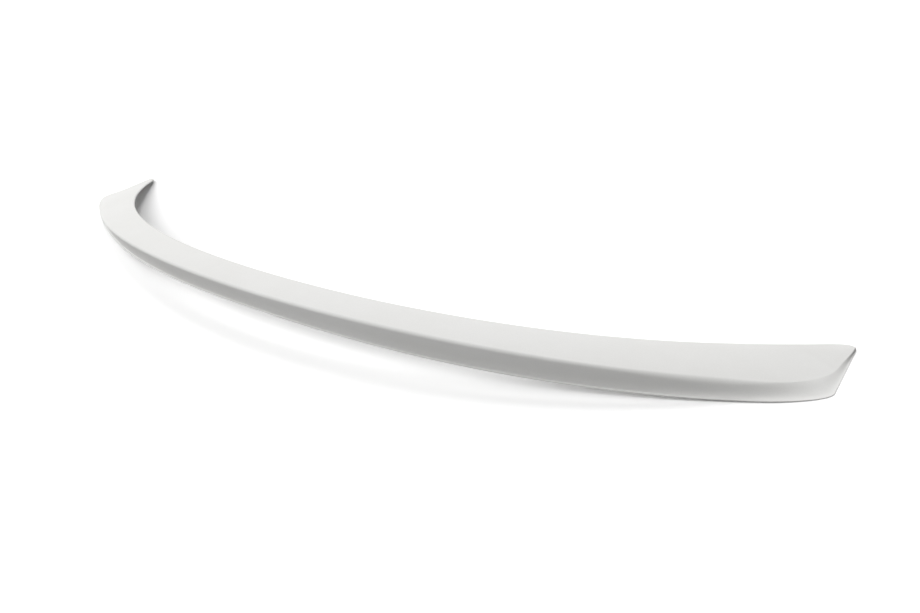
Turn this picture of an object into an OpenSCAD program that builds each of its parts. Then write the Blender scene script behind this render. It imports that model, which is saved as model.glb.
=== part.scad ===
// Trunk spoiler: one moulded shell that follows the rear edge of a trunk lid and wraps forward at
// both ends. Sections are lofted along three guide lines: the base line, the lip and the leading edge.
// Each guide runs from the middle to a shoulder, around the corner to a heel, and on to the tip.

/* [Overall] */
// Width across the wrapped ends
width = 1200; // [1150:5:1250]
// Thickness of the moulded wall
wall = 3; // [2.5:0.25:3.5]
// Thickness at the leading edge
edge_t = 2.4; // [2:0.2:3]
// Rounding of the lip at the middle
lip_round = 3; // [2:0.5:4.5]
// Rounding of the lip around the corner
corner_round = 8.5; // [5:0.5:9.5]
// Crown of the top face between leading edge and lip
top_crown = 1.2; // [0:0.2:2]
// Hollow of the rear face between lip and base
rear_hollow = 1.6; // [0:0.2:2.4]
// How far the rim stands out along the foot of the rear face
rim_step = 1.4; // [0.8:0.2:2]
// How far it still stands out along the ends
rim_end_step = 0.3; // [0.2:0.1:0.8]
// Height of the rim
rim_h = 1.2; // [0.8:0.2:2]

/* [Heights] */
// Lean of the part about its width as it lies on its corners, tips up, in degrees
lean = 2; // [0:0.5:4]
// Rise of the base line at the middle above the ends it stands on
arch = 28; // [24:1:32]
// Height of the lip at the middle
lip_h = 63; // [60:1:66]
// Height of the leading edge at the middle
lead_h = 66; // [62:1:70]
// Height of the lip at the tips
lip_tip_h = 3.5; // [3.1:0.2:4.3]
// Height of the leading edge at the tips
lead_tip_h = 2.6; // [2.2:0.2:3.4]

/* [Lip line] */
// Shoulder of the lip, inboard of the end
lip_shoulder_in = 80; // [74:1:86]
// Shoulder of the lip, forward of its middle
lip_shoulder_y = 164; // [158:1:170]
// Turn of the lip at the shoulder, in degrees
lip_shoulder_turn = 36.5; // [34:0.5:39]
// Heel of the lip, inboard of the end
lip_heel_in = 10; // [8:1:12]
// Heel of the lip, forward
lip_heel_y = 262; // [257:1:267]
// Turn of the lip at the heel, in degrees
lip_heel_turn = 81; // [79:1:83]
// Fullness of the lip's corner
lip_fullness = 1.02; // [0.96:0.02:1.08]
// Tip of the lip, forward
lip_tip_y = 307; // [304:1:310]

/* [Base line] */
// Middle of the base line, forward of the lip's middle
base_mid_y = 16; // [10:1:20]
// Shoulder of the base line, inboard of the end
base_shoulder_in = 59; // [56:1:62]
// Shoulder of the base line, forward
base_shoulder_y = 165; // [162:1:168]
// Turn of the base line at the shoulder, in degrees
base_shoulder_turn = 30; // [27:1:33]
// Heel of the base line, inboard of the end
base_heel_in = 7; // [6.5:0.5:8]
// Heel of the base line, forward
base_heel_y = 213; // [210:1:216]
// Fullness of the base line's corner
base_fullness = 0.6; // [0.55:0.05:0.8]

/* [Leading edge] */
// Middle of the leading edge, forward
lead_mid_y = 40; // [37:1:44]
// Shoulder of the leading edge, inboard of the end
lead_shoulder_in = 123; // [118:1:128]
// Shoulder of the leading edge, forward
lead_shoulder_y = 203; // [199:1:207]
// Turn of the leading edge at the shoulder, in degrees
lead_shoulder_turn = 40; // [37:1:43]
// Heel of the leading edge, inboard of the end
lead_heel_in = 39; // [36:1:42]
// Heel of the leading edge, forward
lead_heel_y = 281; // [278:1:284]
// Turn of the leading edge at the heel, in degrees
lead_heel_turn = 46; // [43:1:49]
// Turn of the leading edge where it meets the tip, in degrees
lead_tip_turn = 21; // [17:1:25]

/* [Hidden] */

half = width / 2;
// Stations along the lip from the middle to the shoulder, around the corner, and from heel to tip
bow_steps = 28;
corner_steps = 16;
end_steps = 8;
// The other two lines are drawn this much finer, because the sections cut them anywhere
finer = 4;
// Points across the top face, around the lip and down the rear face
top_steps = 5;
lip_steps = 6;
rear_steps = 4;
// Heading of the wrapped ends, in degrees, and how far the lip's tip stops short of the full width
end_turn = 86;
tip_in = 2;
// How far the base line and the leading edge are drawn past the tip of the lip
past_tip = 5;
// How strongly the height of the leading edge runs out towards the tips
lead_runout = 1.8;
// Share of the lip and of the base line that is arched, and the form of each arch
lip_reach = 0.92;
lip_power = 2.1;
lip_flare = 1.25;
base_reach = 0.87;
base_power = 1.63;
base_flare = 2;
// The hollow underside closes between these distances before each tip
close_from = 40;
close_to = 12;
// The lip's rounding grows from this many stations before the shoulder, over this many
grow_before = 8;
grow_steps = 12;
// The rim fades from this many stations before the shoulder, over this many
fade_before = 4;
fade_steps = 8;
// The wall and the rim are thinner where a section is less than this many walls high or deep
full_height = 4;
full_depth = 5;
// Largest shares of a section's height and depth that the lip's rounding takes up
round_of_height = 0.4;
round_of_depth = 0.25;
// Largest share of its height above the ends that the leading edge is thick
edge_of_height = 0.7;
// Share of the leading edge's thickness that its upper corner is cut back
edge_bevel = 0.4;
// Share of the rim's step that its ledge falls towards the outside
ledge_fall = 0.5;
// Steps along each inside face
inner_steps = 3;

function mix(a, b, t) = a + (b - a) * t;
function ease(t) = let (c = min(max(t, 0), 1)) c * c * (3 - 2 * c);
// Both rise to 1 and return to 0: one evenly, the other late, with its peak at two thirds
function bulge(t) = 4 * t * (1 - t);
function late_bulge(t) = 27 / 4 * t * t * (1 - t);
function unit(v) = v / norm(v);
function heading(a) = [cos(a), sin(a)];
function plan(p) = [p.x, p.y];

// Cubic stretch between two plan points with given headings; fullness 1 is close to a circular arc
function stretch(p0, a0, p1, a1, fullness, steps) =
    let (
        reach = fullness * norm(p1 - p0) / 3 / pow(cos((a1 - a0) / 4), 2),
        c0 = p0 + reach * heading(a0),
        c1 = p1 - reach * heading(a1)
    )
    [for (i = [0:steps]) let (t = i / steps, s = 1 - t)
        s * s * s * p0 + 3 * t * s * s * c0 + 3 * t * t * s * c1 + t * t * t * p1];

// Plan of one guide line from the middle to the tip
function guide(mid_y, shoulder, turn1, heel, turn2, tip, turn3, fullness, fine = 1) =
    let (
        bow = stretch([0, mid_y], 0, shoulder, turn1, 1, bow_steps * fine),
        corner = stretch(shoulder, turn1, heel, turn2, fullness, corner_steps * fine),
        end = stretch(heel, turn2, tip, turn3, 1, end_steps * fine)
    )
    concat(bow, [for (i = [1:len(corner) - 1]) corner[i]], [for (i = [1:len(end) - 1]) end[i]]);

// Distance along a guide line up to each of its points
function runs(points) = [for (i = 0, sum = 0; i < len(points);
    i = i + 1, sum = sum + (i < len(points) ? norm(points[i] - points[i - 1]) : 0)) sum];

// Share of the fall in height at a share of the run
function fall(u, runout) = u * u * (3 - 2 * u) + runout * u * u * (u - 1);

// A guide line whose height falls from the middle to the tip
function falling(points, top, bottom, runout) =
    let (s = runs(points), total = s[len(s) - 1])
    [for (i = [0:len(points) - 1])
        [points[i].x, points[i].y, mix(top, bottom, fall(s[i] / total, runout))]];

// A guide line that arches up at the middle and runs level at the ends
function arched(points, top, bottom, reach, power, flare) =
    let (s = runs(points), total = s[len(s) - 1])
    [for (i = [0:len(points) - 1])
        let (u = min(s[i] / total / reach, 1))
        [points[i].x, points[i].y, mix(bottom, top, pow(1 - pow(u, power), flare))]];

lip_line = arched(guide(0,
    [half - lip_shoulder_in, lip_shoulder_y], lip_shoulder_turn,
    [half - lip_heel_in, lip_heel_y], lip_heel_turn,
    [half - tip_in, lip_tip_y], end_turn, lip_fullness),
    lip_h, lip_tip_h, lip_reach, lip_power, lip_flare);
base_line = arched(guide(base_mid_y,
    [half - base_shoulder_in, base_shoulder_y], base_shoulder_turn,
    [half - base_heel_in, base_heel_y], end_turn,
    [half, lip_tip_y + past_tip], end_turn, base_fullness, finer),
    arch, 0, base_reach, base_power, base_flare);
lead_line = falling(guide(lead_mid_y,
    [half - lead_shoulder_in, lead_shoulder_y], lead_shoulder_turn,
    [half - lead_heel_in, lead_heel_y], lead_heel_turn,
    [half - tip_in, lip_tip_y + past_tip], lead_tip_turn, 1, finer),
    lead_h, lead_tip_h, lead_runout);

last = len(lip_line) - 1;
lip_runs = runs([for (p = lip_line) plan(p)]);
function along(i) = i == 0 ? [1, 0] : unit(plan(lip_line[min(i + 1, last)] - lip_line[i - 1]));

// Where the upright plane through p, square to the plan direction d, cuts a line
function crossing(line, p, d) =
    let (
        ahead = [for (q = line) plan(q - p) * d],
        k = [for (i = [0:len(line) - 2]) if (ahead[i] <= 0 && ahead[i + 1] > 0) i][0]
    )
    mix(line[k], line[k + 1], ahead[k] / (ahead[k] - ahead[k + 1]));

// One section square to the lip. In its plane u runs forward from the lip and z runs up.
function section(i) =
    let (
        lip = lip_line[i],
        fore = [-along(i).y, along(i).x],
        lead = crossing(lead_line, lip, along(i)),
        base = crossing(base_line, lip, along(i)),
        e = [plan(lead - lip) * fore, lead.z],
        b = [plan(base - lip) * fore, base.z],
        crest = [0, lip.z],
        height = lip.z - base.z,
        size = min(1, height / (full_height * wall), e.x / (full_depth * wall)),
        thick = wall * size,
        faded = ease((i - bow_steps + fade_before) / fade_steps),
        step = mix(rim_step, rim_end_step, faded) * size,
        edge = min(edge_t, lead.z * edge_of_height),
        to_top = unit(e - crest),
        to_rear = unit(b - crest),
        half_angle = acos(to_top * to_rear) / 2,
        inward = unit(to_top + to_rear),
        top_out = [-to_top.y, to_top.x],
        rear_out = [to_rear.y, -to_rear.x],
        grown = ease((i - bow_steps + grow_before) / grow_steps),
        round_r = min(mix(lip_round, corner_round, grown), height * round_of_height, e.x * round_of_depth),
        apex = crest - inward * round_r * (1 / sin(half_angle) - 1),
        centre = apex + inward * round_r / sin(half_angle),
        top_end = apex + to_top * round_r / tan(half_angle),
        rear_end = apex + to_rear * round_r / tan(half_angle),
        start = atan2(top_out.y, top_out.x),
        sweep = 180 - 2 * half_angle,
        rim = b + [0, rim_h * size],
        rear_foot = rim + [step, step * ledge_fall],
        edge_top = e - to_top * edge * edge_bevel,
        edge_front = e - [0, edge * edge_bevel],
        edge_low = e - [0, edge],
        top = [for (k = [0:top_steps - 1]) let (t = k / top_steps)
            mix(edge_top, top_end, t) + top_out * top_crown * size * bulge(t)],
        nose = [for (k = [0:lip_steps]) centre + round_r * heading(start + sweep * k / lip_steps)],
        rear = [for (k = [1:rear_steps]) let (t = k / rear_steps)
            mix(rear_end, rear_foot, t) - rear_out * rear_hollow * size * late_bulge(t)],
        outer = concat([edge_low, edge_front], top, nose, rear, [rim, b]),
        // the inside follows the outside one wall thickness away
        across = [thick / abs(to_rear.y), 0],
        in_foot = b + [step, 0] + across,
        in_rear = rear_foot + across,
        in_apex = apex + inward * max(thick / sin(half_angle), round_r / sin(half_angle) - round_r + thick),
        in_edge = edge_low - [edge, 0],
        in_wall = [for (k = [1:inner_steps - 1]) let (t = k / inner_steps)
            mix(in_rear, in_apex, t) - rear_out * rear_hollow * size * late_bulge(1 - t)],
        in_top = [for (k = [1:inner_steps - 1]) let (t = k / inner_steps)
            mix(in_apex, in_edge, t) + top_out * top_crown * size * bulge(t)],
        hollow = concat([in_foot], in_wall, [in_apex], in_top, [in_edge]),
        open = ease((lip_runs[last] - lip_runs[i] - close_to) / (close_from - close_to)),
        inner = [for (k = [0:len(hollow) - 1])
            mix(mix(in_foot, in_edge, k / (len(hollow) - 1)), hollow[k], open)]
    )
    [for (p = concat(outer, inner)) [lip.x + fore.x * p.x, lip.y + fore.y * p.x, p.y]];

right_half = [for (i = [0:last]) [for (p = section(i))
    [p.x, p.y * cos(lean) - p.z * sin(lean), p.y * sin(lean) + p.z * cos(lean)]]];
sections = concat(
    [for (i = [last:-1:1]) [for (p = right_half[i]) [-p.x, p.y, p.z]]],
    right_half);

// The frame's origin is the middle of the bounding box's underside
all_y = [for (s = right_half) for (p = s) p.y];
all_z = [for (s = right_half) for (p = s) p.z];
mid_y = (min(all_y) + max(all_y)) / 2;

function centroid(points) = [for (k = [0:2]) [for (p = points) p[k]] * [for (p = points) 1] / len(points)];

// The shell: each section joined to the next, and each tip closed
module spoiler() {
    ring = len(sections[0]);
    count = len(sections);
    tips = [centroid(sections[0]), centroid(sections[count - 1])];
    points = concat([for (s = sections) each s], tips);
    skin = [for (i = [0:count - 2]) for (j = [0:ring - 1])
        let (a = i * ring + j, b = i * ring + (j + 1) % ring, c = a + ring, d = b + ring)
        // the diagonals of the two halves mirror each other
        each (i < last ? [[a, c, b], [b, c, d]] : [[a, d, b], [a, c, d]])];
    caps = [for (j = [0:ring - 1])
        let (n = (j + 1) % ring, start = (count - 1) * ring)
        each [[count * ring, j, n], [count * ring + 1, start + n, start + j]]];
    color("gainsboro")
        translate([0, -mid_y, -min(all_z)])
            polyhedron(points, concat(skin, caps));
}

spoiler();
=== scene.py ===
"""Looks of the trunk spoiler: the moulded shell again, from the same guide lines as the source, but finer."""

import math

import bpy
import numpy as np
from mathutils import Matrix, Vector


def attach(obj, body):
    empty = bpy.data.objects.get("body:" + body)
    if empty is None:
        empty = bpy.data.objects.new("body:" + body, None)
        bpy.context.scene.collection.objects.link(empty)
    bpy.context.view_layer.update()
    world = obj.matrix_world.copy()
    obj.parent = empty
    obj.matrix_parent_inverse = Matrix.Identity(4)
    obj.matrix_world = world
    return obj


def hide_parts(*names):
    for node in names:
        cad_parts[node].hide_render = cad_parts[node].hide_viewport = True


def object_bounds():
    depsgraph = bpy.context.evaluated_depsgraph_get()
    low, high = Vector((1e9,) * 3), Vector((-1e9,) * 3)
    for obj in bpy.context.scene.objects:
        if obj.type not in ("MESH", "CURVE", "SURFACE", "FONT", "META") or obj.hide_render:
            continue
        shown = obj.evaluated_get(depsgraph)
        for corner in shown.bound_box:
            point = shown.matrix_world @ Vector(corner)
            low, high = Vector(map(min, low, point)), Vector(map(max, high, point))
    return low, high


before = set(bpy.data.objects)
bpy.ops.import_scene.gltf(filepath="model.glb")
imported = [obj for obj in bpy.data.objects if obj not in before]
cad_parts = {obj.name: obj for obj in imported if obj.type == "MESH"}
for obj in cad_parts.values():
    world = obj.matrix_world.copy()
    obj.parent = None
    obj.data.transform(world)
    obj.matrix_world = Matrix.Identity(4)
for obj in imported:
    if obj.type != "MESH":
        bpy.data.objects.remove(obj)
cad_lo, cad_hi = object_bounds()

# ---------------------------------------------------------------- shape, in millimetres
HALF = 600.0
WALL = 3.0
EDGE_T, EDGE_OF_LEAD = 2.4, 0.7               # leading edge, and its limit as a share of that line's height
LIP_ROUND, CORNER_ROUND = 3.0, 8.5
ROUND_OF_HEIGHT, ROUND_OF_DEPTH = 0.4, 0.25   # the lip's rounding stays under these shares of the section
LEAD_ROUND = 0.8                              # rounding of the leading edge, as a share of its thickness
SMALL_ROUND = 0.35
TOP_CROWN, REAR_HOLLOW = 1.2, 1.6
RIM_STEP, RIM_END_STEP, RIM_H, LEDGE_FALL = 1.4, 0.3, 1.2, 0.5
FULL_HEIGHT, FULL_DEPTH = 4 * WALL, 5 * WALL  # smaller sections have thinner walls and finer details
LEAN = math.radians(2.0)
SHARP = math.radians(40)

# heights of the three lines, from the middle to the tip
ARCH = 28.0
LIP_H, LIP_TIP_H = 63.0, 3.5
LIP_ARCH, BASE_ARCH = (0.92, 2.1, 1.25), (0.87, 1.63, 2.0)    # share of the line, power, flare
LEAD_H, LEAD_TIP_H, LEAD_RUNOUT = 66.0, 2.6, 1.8

# the three lines in plan: the middle, then place and turn of shoulder and heel, then how full the corner is
LIP_MID_Y, LIP_SHOULDER, LIP_SHOULDER_TURN = 0, (HALF - 80, 164), 36.5
LIP_HEEL, LIP_HEEL_TURN, LIP_FULLNESS = (HALF - 10, 262), 81, 1.02
BASE_MID_Y, BASE_SHOULDER, BASE_SHOULDER_TURN = 16, (HALF - 59, 165), 30
BASE_HEEL, BASE_FULLNESS = (HALF - 7, 213), 0.6
LEAD_MID_Y, LEAD_SHOULDER, LEAD_SHOULDER_TURN = 40, (HALF - 123, 203), 40
LEAD_HEEL, LEAD_HEEL_TURN, LEAD_TIP_TURN = (HALF - 39, 281), 46, 21
END_TURN, TIP_IN, PAST_TIP = 86.0, 2.0, 5.0
LIP_TIP_Y = 307.0

# stations and points
BOW, CORNER, END = 28, 16, 8          # stations of the source from the middle to the tip
FINER = 4                             # stations here for each one there
LINE_FINER = 8                        # points of the other two lines for each station here
FADE_BEFORE, FADE_STEPS = 4, 8        # source stations before the corner where the rim fades, and over how many
SOFTEN_BEFORE, SOFTEN_STEPS = 8, 12   # the same for the lip's larger rounding
CLOSE_FROM, CLOSE_TO = 40.0, 12.0     # distance from the tip where the inside begins to close and is closed
TOP_STEPS, LIP_STEPS, REAR_STEPS = 12, 14, 10
EDGE_STEPS, RIM_STEPS, INSIDE_STEPS = 6, 3, 4


def unit(v):
    return v / np.linalg.norm(v)


def ease(t):
    t = min(max(t, 0.0), 1.0)
    return t * t * (3 - 2 * t)


def bulge(t):
    return 4 * t * (1 - t)


def late_bulge(t):
    return 27 / 4 * t * t * (1 - t)


def mix(a, b, t):
    return a + (b - a) * t


def heading(a):
    return np.array([math.cos(math.radians(a)), math.sin(math.radians(a))])


def stretch(p0, a0, p1, a1, fullness, steps):
    p0, p1 = np.array(p0, float), np.array(p1, float)
    reach = fullness * np.linalg.norm(p1 - p0) / 3 / math.cos(math.radians((a1 - a0) / 4)) ** 2
    c0, c1 = p0 + reach * heading(a0), p1 - reach * heading(a1)
    t = np.linspace(0, 1, steps + 1)[:, None]
    s = 1 - t
    return s**3 * p0 + 3 * t * s**2 * c0 + 3 * t**2 * s * c1 + t**3 * p1


def guide(mid_y, shoulder, turn1, heel, turn2, tip, turn3, fullness, fine):
    bow = stretch((0, mid_y), 0, shoulder, turn1, 1, BOW * fine)
    corner = stretch(shoulder, turn1, heel, turn2, fullness, CORNER * fine)
    end = stretch(heel, turn2, tip, turn3, 1, END * fine)
    return np.vstack([bow, corner[1:], end[1:]])


def runs(points):
    return np.concatenate([[0], np.cumsum(np.linalg.norm(np.diff(points, axis=0), axis=1))])


def falling(points, top, bottom, runout):
    s = runs(points)
    u = s / s[-1]
    fall = u * u * (3 - 2 * u) + runout * u * u * (u - 1)
    return np.column_stack([points, mix(top, bottom, fall)])


def arched(points, top, bottom, reach, power, flare):
    s = runs(points)
    u = np.minimum(s / s[-1] / reach, 1)
    return np.column_stack([points, mix(bottom, top, (1 - u**power) ** flare)])


lip_line = arched(
    guide(LIP_MID_Y, LIP_SHOULDER, LIP_SHOULDER_TURN, LIP_HEEL, LIP_HEEL_TURN,
          (HALF - TIP_IN, LIP_TIP_Y), END_TURN, LIP_FULLNESS, FINER),
    LIP_H, LIP_TIP_H, *LIP_ARCH)
base_line = arched(
    guide(BASE_MID_Y, BASE_SHOULDER, BASE_SHOULDER_TURN, BASE_HEEL, END_TURN,
          (HALF, LIP_TIP_Y + PAST_TIP), END_TURN, BASE_FULLNESS, FINER * LINE_FINER),
    ARCH, 0.0, *BASE_ARCH)
lead_line = falling(
    guide(LEAD_MID_Y, LEAD_SHOULDER, LEAD_SHOULDER_TURN, LEAD_HEEL, LEAD_HEEL_TURN,
          (HALF - TIP_IN, LIP_TIP_Y + PAST_TIP), LEAD_TIP_TURN, 1, FINER * LINE_FINER),
    LEAD_H, LEAD_TIP_H, LEAD_RUNOUT)
LAST = len(lip_line) - 1
lip_runs = runs(lip_line[:, :2])


def crossing(line, p, d):
    ahead = (line[:, :2] - p[:2]) @ d
    k = int(np.nonzero((ahead[:-1] <= 0) & (ahead[1:] > 0))[0][0])
    return mix(line[k], line[k + 1], ahead[k] / (ahead[k] - ahead[k + 1]))


def rounded(a, p, b, reach, n):
    """A corner p between a and b, rounded over the same reach on both sides."""
    q0, q1 = p + unit(a - p) * reach, p + unit(b - p) * reach
    return [(1 - t) ** 2 * q0 + 2 * t * (1 - t) * p + t * t * q1 for t in np.linspace(0, 1, n + 1)]


def through(points, n):
    """A smooth curve through the points, n steps for each stretch."""
    pts = [2 * points[0] - points[1], *points, 2 * points[-1] - points[-2]]
    out = []
    for p0, p1, p2, p3 in zip(pts, pts[1:], pts[2:], pts[3:]):
        for t in np.arange(n) / n:
            out.append(0.5 * (2 * p1 + (p2 - p0) * t + (2 * p0 - 5 * p1 + 4 * p2 - p3) * t * t
                              + (3 * p1 - p0 - 3 * p2 + p3) * t**3))
    return [*out, points[-1]]


def section(i):
    """The closed outline of the shell at station i, square to the lip: low edge, top, lip, rear, foot, inside."""
    lip = lip_line[i]
    along = np.array([1.0, 0.0]) if i == 0 else unit((lip_line[min(i + 1, LAST)] - lip_line[i - 1])[:2])
    fore = np.array([-along[1], along[0]])
    lead, base = crossing(lead_line, lip, along), crossing(base_line, lip, along)
    e = np.array([(lead - lip)[:2] @ fore, lead[2]])
    b = np.array([(base - lip)[:2] @ fore, base[2]])
    crest = np.array([0, lip[2]])
    height = lip[2] - base[2]
    size = min(1, height / FULL_HEIGHT, e[0] / FULL_DEPTH)
    past_bow = i / FINER - BOW
    faded, softened = ease((past_bow + FADE_BEFORE) / FADE_STEPS), ease((past_bow + SOFTEN_BEFORE) / SOFTEN_STEPS)
    thick, step, small = WALL * size, mix(RIM_STEP, RIM_END_STEP, faded) * size, SMALL_ROUND * size
    edge = min(EDGE_T, lead[2] * EDGE_OF_LEAD)
    to_top, to_rear = unit(e - crest), unit(b - crest)
    half_angle = math.acos(to_top @ to_rear) / 2
    inward = unit(to_top + to_rear)
    top_out, rear_out = np.array([-to_top[1], to_top[0]]), np.array([to_rear[1], -to_rear[0]])
    round_r = min(mix(LIP_ROUND, CORNER_ROUND, softened), height * ROUND_OF_HEIGHT, e[0] * ROUND_OF_DEPTH)
    apex = crest - inward * round_r * (1 / math.sin(half_angle) - 1)
    centre = apex + inward * round_r / math.sin(half_angle)
    top_end = apex + to_top * round_r / math.tan(half_angle)
    rear_end = apex + to_rear * round_r / math.tan(half_angle)
    start = math.degrees(math.atan2(top_out[1], top_out[0]))
    sweep = 180 - 2 * math.degrees(half_angle)
    rim = b + [0, RIM_H * size]
    rear_foot = rim + [step, step * LEDGE_FALL]
    low = e - [0, edge]
    across = np.array([thick / abs(to_rear[1]), 0])
    in_foot, in_rear = b + [step, 0] + across, rear_foot + across
    in_apex = apex + inward * max(thick / math.sin(half_angle), round_r / math.sin(half_angle) - round_r + thick)
    in_edge = low - [edge, 0]
    top = [mix(e, top_end, t) + top_out * TOP_CROWN * size * bulge(t)
           for t in np.linspace(edge * LEAD_ROUND / np.linalg.norm(top_end - e), 1, TOP_STEPS, endpoint=False)]
    nose = [centre + round_r * heading(start + sweep * k / LIP_STEPS) for k in range(LIP_STEPS + 1)]
    rear = [mix(rear_end, rear_foot, t) - rear_out * REAR_HOLLOW * size * late_bulge(t)
            for t in np.linspace(0, 1, REAR_STEPS + 1)[1:]]
    lead_corner = rounded(low, e, top[1], edge * LEAD_ROUND, EDGE_STEPS)[:-1]
    in_wall = [mix(in_rear, in_apex, t) - rear_out * REAR_HOLLOW * size * late_bulge(1 - t) for t in (1 / 3, 2 / 3)]
    in_top = [mix(in_apex, in_edge, t) + top_out * TOP_CROWN * size * bulge(t) for t in (1 / 3, 2 / 3)]
    hollow = [in_foot, *in_wall, in_apex, *in_top, in_edge]
    opening = ease((lip_runs[LAST] - lip_runs[i] - CLOSE_TO) / (CLOSE_FROM - CLOSE_TO))
    inner = [mix(mix(in_foot, in_edge, k / (len(hollow) - 1)), p, opening) for k, p in enumerate(hollow)]
    ring = [
        *rounded(in_edge, low, e, small, RIM_STEPS), *lead_corner, *top, *nose, *rear[:-1],
        *rounded(rear[-2], rear_foot, rim, small, RIM_STEPS - 1), *rounded(rear_foot, rim, b, small, RIM_STEPS),
        *rounded(rim, b, in_foot, small, RIM_STEPS), *through(inner, INSIDE_STEPS),
    ]
    return [(lip[0] + fore[0] * p[0], lip[1] + fore[1] * p[0], p[1]) for p in ring]


def shell_mesh():
    half = np.array([section(i) for i in range(LAST + 1)])
    y, z = half[..., 1].copy(), half[..., 2].copy()
    half[..., 1] = y * math.cos(LEAN) - z * math.sin(LEAN)
    half[..., 2] = y * math.sin(LEAN) + z * math.cos(LEAN)
    rings = np.concatenate([half[:0:-1] * [-1, 1, 1], half]) / 1000
    count, ring = rings.shape[:2]
    points = rings.reshape(-1, 3)
    lo, hi = points.min(0), points.max(0)
    points = points + [0, (cad_lo.y + cad_hi.y - lo[1] - hi[1]) / 2, cad_lo.z - lo[2]]
    points = np.clip(points, np.array(cad_lo), np.array(cad_hi))
    faces = [(i * ring + j, i * ring + (j + 1) % ring, (i + 1) * ring + (j + 1) % ring, (i + 1) * ring + j)
             for i in range(count - 1) for j in range(ring)]
    tips = [tuple(range(ring - 1, -1, -1)), tuple(range((count - 1) * ring, count * ring))]
    mesh = bpy.data.meshes.new("spoiler_shell")
    mesh.from_pydata(points.tolist(), [], [f[::-1] for f in faces + tips])
    mesh.update()
    mesh.polygons.foreach_set("use_smooth", [True] * len(mesh.polygons))
    mesh.set_sharp_from_angle(angle=SHARP)
    return mesh


# ---------------------------------------------------------------- materials
def nodes_of(owner):
    owner.use_nodes = True
    tree = owner.node_tree
    tree.nodes.clear()

    def node(kind, settings=(), **inputs):
        """A node with its settings as (name, value) pairs; an input _3 is input number 3."""
        made = tree.nodes.new("ShaderNode" + kind)
        for key, value in settings:
            setattr(made, key, value)
        for key, value in inputs.items():
            made.inputs[int(key[1:]) if key.startswith("_") else key.replace("_", " ")].default_value = value
        return made

    def join(a, out, b, into):
        tree.links.new(a.outputs[out], b.inputs[into])

    return node, join


def primer():
    """Pale moulded shell in matt primer: faint mottling, fine spray texture, a soft sheen that varies a little."""
    mat = bpy.data.materials.new("primer_shell")
    node, join = nodes_of(mat)
    out, skin = node("OutputMaterial"), node("BsdfPrincipled", IOR=1.45, Specular_IOR_Level=0.15)
    where = node("TexCoord")
    cloud = node("TexNoise", Scale=9.0, Detail=4.0, Roughness=0.6)
    speck = node("TexNoise", Scale=700.0, Detail=2.0, Roughness=0.5)
    peel = node("TexNoise", Scale=260.0, Detail=2.0, Roughness=0.5)
    tint, grain = node("ValToRGB"), node("ValToRGB")
    for ramp, stops in ((tint, ((0.35, (0.775, 0.772, 0.755, 1)), (0.65, (0.800, 0.798, 0.785, 1)))),
                        (grain, ((0.3, (0.975, 0.975, 0.975, 1)), (0.7, (1, 1, 1, 1))))):
        for stop, (at, colour) in zip(ramp.color_ramp.elements, stops):
            stop.position, stop.color = at, colour
    both = node("Mix", (("data_type", "RGBA"), ("blend_type", "MULTIPLY")), _0=1.0)
    rough = node("MapRange", _1=0.3, _2=0.7, _3=0.58, _4=0.68)
    bump = node("Bump", Strength=0.06, Distance=0.0004)
    for n in (cloud, speck, peel):
        join(where, "Object", n, "Vector")
    join(cloud, "Fac", tint, "Fac")
    join(speck, "Fac", grain, "Fac")
    join(tint, "Color", both, 6)
    join(grain, "Color", both, 7)
    join(both, 2, skin, "Base Color")
    join(cloud, "Fac", rough, 0)
    join(rough, 0, skin, "Roughness")
    join(peel, "Fac", bump, "Height")
    join(bump, "Normal", skin, "Normal")
    join(skin, "BSDF", out, "Surface")
    return mat


shell = bpy.data.objects.new("spoiler_shell", shell_mesh())
bpy.context.collection.objects.link(shell)
shell.data.materials.append(primer())
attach(shell, "root")
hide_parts("spoiler")


# ---------------------------------------------------------------- floor, light and camera
def pale_floor():
    """White where the camera sees it, and plainly pale for the light that it throws back onto the part."""
    mat = bpy.data.materials.new("pale_floor")
    node, join = nodes_of(mat)
    out, seen, lit, path, pick = (node("OutputMaterial"), node("BsdfDiffuse"), node("BsdfDiffuse"),
                                  node("LightPath"), node("MixShader"))
    seen.inputs["Color"].default_value = (1.13, 1.13, 1.13, 1)
    lit.inputs["Color"].default_value = (0.55, 0.55, 0.55, 1)
    join(path, "Is Camera Ray", pick, 0)
    join(lit, "BSDF", pick, 1)
    join(seen, "BSDF", pick, 2)
    join(pick, "Shader", out, "Surface")
    return mat


# In the photo both ends lie flat on the floor, so it is level with their foot, not with the frame's XY plane
FLOOR_SIZE, FLOOR_DROP, FLOOR_LEAN = 60, 0.0013, math.radians(1.9)
bpy.ops.mesh.primitive_plane_add(size=FLOOR_SIZE, location=(0, 0, -FLOOR_DROP), rotation=(FLOOR_LEAN, 0, 0))
floor = bpy.context.object
floor.name = "floor"
floor.data.materials.append(pale_floor())

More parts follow.
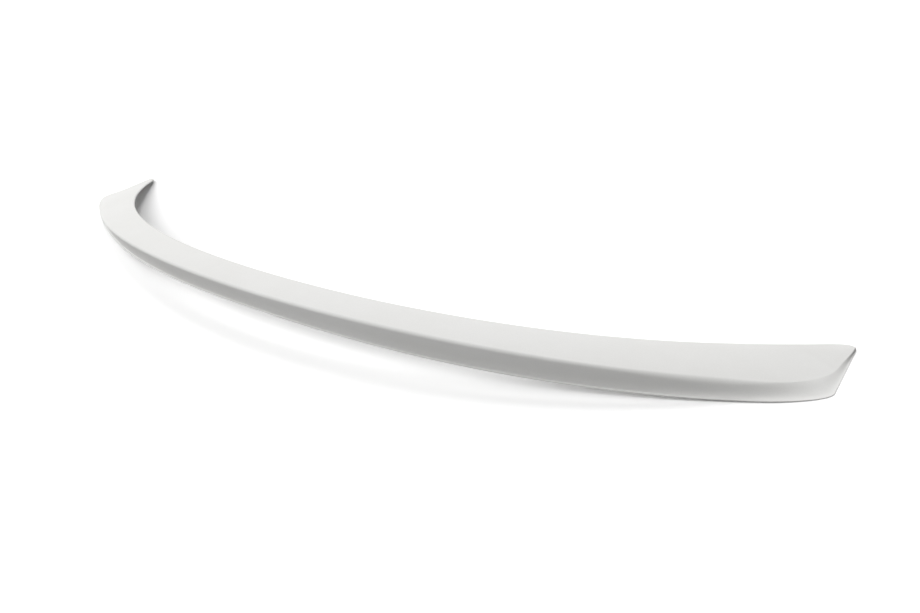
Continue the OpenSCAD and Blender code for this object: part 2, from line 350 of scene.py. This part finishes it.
world = bpy.data.worlds.new("studio")
bpy.context.scene.world = world
node, join = nodes_of(world)
out, path, pick = node("OutputWorld"), node("LightPath"), node("MixShader")
dark, white = node("Background", Strength=0.0), node("Background", Color=(1, 1, 1, 1), Strength=1.0)
direct, seen = node("Math", [("operation", "MAXIMUM")]), node("Math", [("operation", "MAXIMUM")])
join(path, "Is Camera Ray", direct, 0)
join(path, "Is Transmission Ray", direct, 1)
join(direct, "Value", seen, 0)
join(path, "Is Glossy Ray", seen, 1)
join(seen, "Value", pick, 0)
join(dark, "Background", pick, 1)
join(white, "Background", pick, 2)
join(pick, "Shader", out, "Surface")

# Each soft lamp: degrees round from behind the part towards its right end, degrees up, how wide it is, strength
LAMPS = (
    (225, 38, 30, 1.14), (180, 38, 30, 0.56), (315, 38, 30, 0.09),
    (315, 62, 26, 1.14), (225, 62, 26, 0.77), (180, 62, 26, 0.17), (0, 15, 36, 1.23),
)
for n, (around, height, wide, strength) in enumerate(LAMPS):
    around, height = math.radians(around), math.radians(height)
    data = bpy.data.lights.new(f"soft_lamp_{n}", "SUN")
    data.angle, data.energy = math.radians(wide), strength
    lamp = bpy.data.objects.new(f"soft_lamp_{n}", data)
    bpy.context.collection.objects.link(lamp)
    towards = Vector((math.sin(around) * math.cos(height), math.cos(around) * math.cos(height), math.sin(height)))
    lamp.rotation_mode = "QUATERNION"
    lamp.rotation_quaternion = towards.to_track_quat("Z", "Y")

# The camera as fitted to the photo
CAMERA_AT = (0.6094, -0.6061, 0.3864)
AZIMUTH, ELEVATION, ROLL = math.radians(33.807), math.radians(26.858), math.radians(-0.955)
cam = bpy.data.objects.new("camera", bpy.data.cameras.new("camera"))
bpy.context.collection.objects.link(cam)
cam.data.sensor_fit, cam.data.sensor_width, cam.data.lens = "HORIZONTAL", 36.0, 27.6607
cam.data.clip_start, cam.data.clip_end = 0.01, 200
back = Vector((math.sin(AZIMUTH) * math.cos(ELEVATION), -math.cos(AZIMUTH) * math.cos(ELEVATION), math.sin(ELEVATION)))
level_right = Vector((math.cos(AZIMUTH), math.sin(AZIMUTH), 0))
level_up = back.cross(level_right)
right = math.cos(ROLL) * level_right + math.sin(ROLL) * level_up
up = -math.sin(ROLL) * level_right + math.cos(ROLL) * level_up
cam.matrix_world = Matrix.Translation(CAMERA_AT) @ Matrix((right, up, back)).transposed().to_4x4()
bpy.context.scene.camera = cam
bpy.context.scene.view_settings.view_transform = "Standard"
